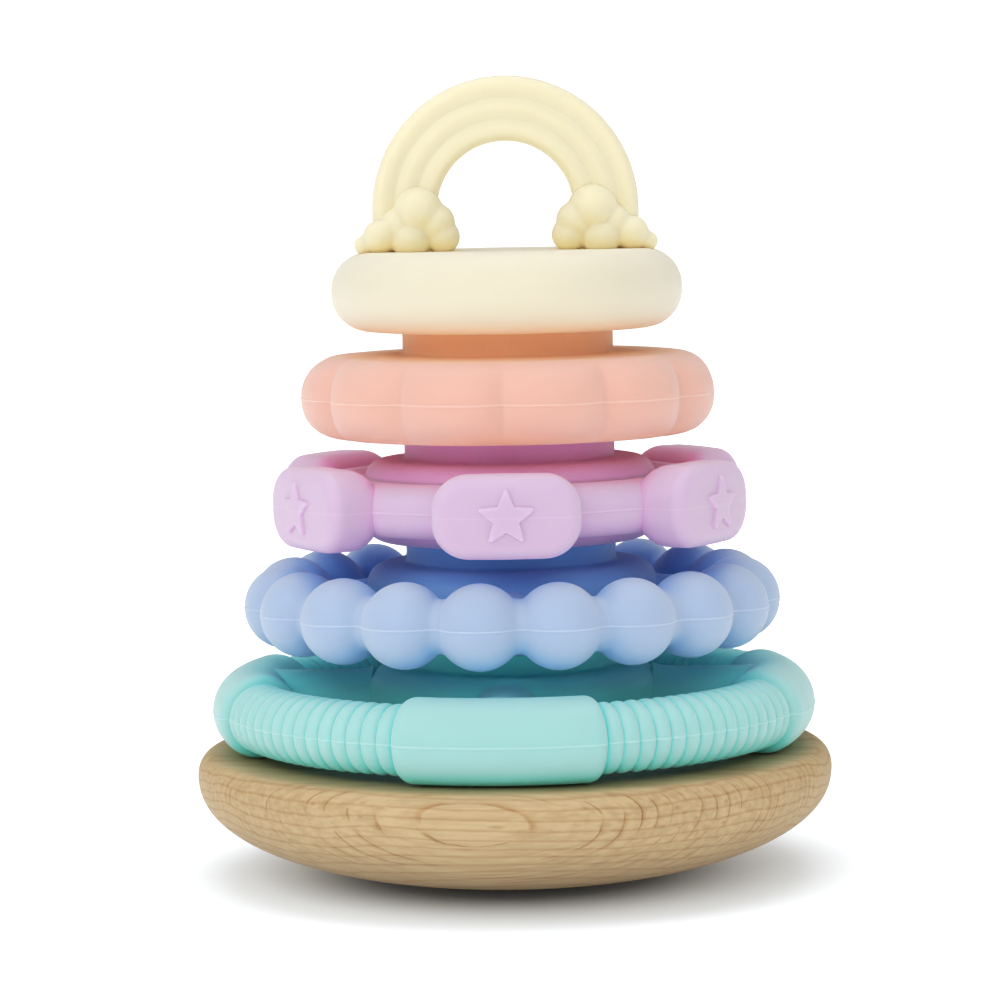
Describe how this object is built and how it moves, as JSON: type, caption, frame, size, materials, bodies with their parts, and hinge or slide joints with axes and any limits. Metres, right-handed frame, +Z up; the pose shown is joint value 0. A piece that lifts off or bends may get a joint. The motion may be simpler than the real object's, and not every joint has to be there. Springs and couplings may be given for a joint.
{
  "type": "stacking ring toy",
  "caption": "Baby stacking toy: a rocking wooden base, soft ribbed, beaded, starred and scalloped rings on collars, and a topper disc with a rainbow arch handle.",
  "frame": {"origin": "middle of the small flat under the wooden base, on the axis that all the rings share", "axes": "+Z up through the rings to the arch; +X along the arch's width; -Y is the front"},
  "size_m": [0.135, 0.135, 0.1693],
  "materials": {
    "beech_base": "smooth turned beech, thin clear oil, satin",
    "beech_disc": "smooth turned beech, satin",
    "aqua_silicone": "matt soft-touch silicone",
    "periwinkle_silicone": "matt soft-touch silicone",
    "lilac_silicone": "matt soft-touch silicone",
    "peach_silicone": "matt soft-touch silicone",
    "cream_silicone": "matt soft-touch silicone",
    "pale_yellow_silicone": "matt soft-touch silicone"
  },
  "bodies": {
    "base": {"wooden_base": "beech_base", "locating_disc": "beech_disc"},
    "ribbed_ring_body": {"ribbed_ring": "aqua_silicone"},
    "bead_ring_body": {"bead_ring": "periwinkle_silicone"},
    "star_ring_body": {"star_ring": "lilac_silicone"},
    "scalloped_ring_body": {"scalloped_ring": "peach_silicone"},
    "topper_body": {"topper_disc": "cream_silicone", "rainbow_arch": "pale_yellow_silicone"}
  },
  "joints": [
    {"name": "ribbed_ring_lift", "type": "slide", "parent": "base", "child": "ribbed_ring_body", "axis": [0, 0, 1], "range_m": [0, 0.03]},
    {"name": "bead_ring_lift", "type": "slide", "parent": "ribbed_ring_body", "child": "bead_ring_body", "axis": [0, 0, 1], "range_m": [0, 0.03]},
    {"name": "star_ring_lift", "type": "slide", "parent": "bead_ring_body", "child": "star_ring_body", "axis": [0, 0, 1], "range_m": [0, 0.03]},
    {"name": "scalloped_ring_lift", "type": "slide", "parent": "star_ring_body", "child": "scalloped_ring_body", "axis": [0, 0, 1], "range_m": [0, 0.03]},
    {"name": "topper_lift", "type": "slide", "parent": "scalloped_ring_body", "child": "topper_body", "axis": [0, 0, 1], "range_m": [0, 0.03]}
  ]
}
